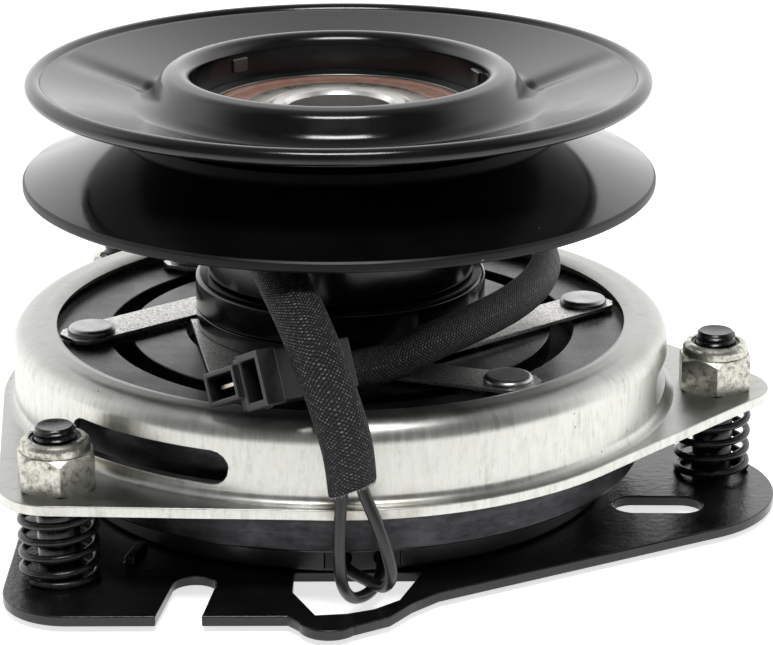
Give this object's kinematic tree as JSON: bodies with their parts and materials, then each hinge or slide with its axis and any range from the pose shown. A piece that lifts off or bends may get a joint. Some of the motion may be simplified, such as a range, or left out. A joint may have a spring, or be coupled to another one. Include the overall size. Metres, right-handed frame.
{
  "type": "electromagnetic clutch",
  "caption": "Electromagnetic clutch and brake with a V-belt pulley on bearings, sprung armature, adjustable brake plate and two-wire lead.",
  "frame": {"origin": "on the rotation axis, at the lower end face of the rotor hub, level with the stud heads the part stands on", "axes": "+Z along the rotation axis towards the pulley, -Y towards the side the lead leaves from, +X to the right seen from there"},
  "size_m": [0.1926, 0.1912, 0.1083],
  "materials": {
    "black_paint": "gloss black paint",
    "black_plate": "satin black coating",
    "zinc": "satin zinc plating",
    "nut_zinc": "yellowish zinc plating",
    "dark_steel": "turned and blackened steel",
    "stud_black": "black oxide",
    "spring_black": "black oxide wire",
    "bright_steel": "ground steel",
    "leaf_steel": "speckled plated spring steel",
    "rivet_steel": "plated steel",
    "hub_steel": "turned steel",
    "race_steel": "ground bearing steel",
    "ball_steel": "polished",
    "cage_steel": "pressed steel",
    "seal_rubber": "red-brown seal rubber",
    "seal_black": "black seal rubber",
    "copper": "enamelled copper",
    "bobbin": "moulded",
    "potting": "potting compound",
    "friction": "friction material",
    "grommet": "moulded rubber",
    "wire": "wire insulation",
    "braid": "braided sleeving",
    "connector": "moulded connector",
    "terminal": "tinned brass",
    "nylon": "nylon"
  },
  "bodies": {
    "field": {"mounting_plate": "black_plate", "adjusting_studs": "stud_black", "field_shell": "black_plate", "coil_bobbin": "bobbin", "coil_winding": "copper", "coil_potting": "potting", "lower_bearing_outer_race": "race_steel", "lower_bearing_seals": "seal_black", "lead_grommet": "grommet", "lead_wire_a": "wire", "lead_wire_b": "wire", "braided_sleeve": "braid", "connector_housing": "connector", "connector_terminals": "terminal", "air_gap_spring_left": "spring_black", "air_gap_spring_right": "spring_black", "air_gap_spring_rear": "spring_black"},
    "lower_bearing_set": {"lower_bearing_cage": "cage_steel", "lower_bearing_balls": "ball_steel"},
    "rotor": {"rotor_disc": "dark_steel", "rotor_hub": "hub_steel", "friction_ring": "friction", "lower_bearing_inner_race": "race_steel", "upper_bearing_inner_race": "bright_steel"},
    "upper_bearing_set": {"upper_bearing_cage": "cage_steel", "upper_bearing_balls": "ball_steel"},
    "pulley": {"pulley_upper_flange": "black_paint", "pulley_lower_flange": "black_paint", "pulley_hub": "black_paint", "upper_bearing_outer_race": "race_steel", "upper_bearing_seals": "seal_rubber", "hub_drive_flange": "black_paint", "hub_clamp_ring": "black_paint", "hub_backing_ring": "black_paint", "hub_rivets": "rivet_steel", "leaf_springs": "leaf_steel"},
    "armature": {"armature_disc": "dark_steel", "armature_rivets": "rivet_steel"},
    "brake_plate": {"brake_plate": "zinc", "brake_pads": "friction"},
    "nut_left": {"adjusting_nut_left": "nut_zinc", "nut_insert_left": "nylon"},
    "nut_right": {"adjusting_nut_right": "nut_zinc", "nut_insert_right": "nylon"},
    "nut_rear": {"adjusting_nut_rear": "nut_zinc", "nut_insert_rear": "nylon"}
  },
  "joints": [
    {"name": "rotor_spin", "type": "hinge", "parent": "field", "child": "rotor", "pos_m": [0, 0, 0], "axis": [0, 0, 1], "continuous": true},
    {"name": "lower_bearing_orbit", "type": "hinge", "parent": "field", "child": "lower_bearing_set", "pos_m": [0, 0, 0.017], "axis": [0, 0, 1], "continuous": true},
    {"name": "pulley_spin", "type": "hinge", "parent": "rotor", "child": "pulley", "pos_m": [0, 0, 0.0905], "axis": [0, 0, 1], "continuous": true},
    {"name": "upper_bearing_orbit", "type": "hinge", "parent": "rotor", "child": "upper_bearing_set", "pos_m": [0, 0, 0.0905], "axis": [0, 0, 1], "continuous": true},
    {"name": "armature_engage", "type": "slide", "parent": "pulley", "child": "armature", "axis": [0, 0, 1], "range_m": [-0.00045, 0], "stiffness_N_per_m": 60000, "springref_m": 0.0003, "deforming": ["leaf_springs"]},
    {"name": "brake_plate_adjust", "type": "slide", "parent": "field", "child": "brake_plate", "axis": [0, 0, 1], "range_m": [0, 0.001], "deforming": ["air_gap_spring_left", "air_gap_spring_right", "air_gap_spring_rear"]},
    {"name": "nut_left_turn", "type": "hinge", "parent": "brake_plate", "child": "nut_left", "pos_m": [-0.06445, -0.06815, 0.0268], "axis": [0, 0, 1], "range_deg": [0, 241]},
    {"name": "nut_right_turn", "type": "hinge", "parent": "brake_plate", "child": "nut_right", "pos_m": [0.09377, -0.00229, 0.0268], "axis": [0, 0, 1], "range_deg": [0, 241]},
    {"name": "nut_rear_turn", "type": "hinge", "parent": "brake_plate", "child": "nut_rear", "pos_m": [-0.06104, 0.07122, 0.0268], "axis": [0, 0, 1], "range_deg": [0, 241]}
  ],
  "couplings": [
    {"joint": "lower_bearing_orbit", "follows": "rotor_spin", "ratio": 0.41814},
    {"joint": "upper_bearing_orbit", "follows": "pulley_spin", "ratio": 0.60374},
    {"joint": "nut_left_turn", "follows": "brake_plate_adjust", "rad_per_m": 4188.8},
    {"joint": "nut_right_turn", "follows": "brake_plate_adjust", "rad_per_m": 4188.8},
    {"joint": "nut_rear_turn", "follows": "brake_plate_adjust", "rad_per_m": 4188.8}
  ]
}
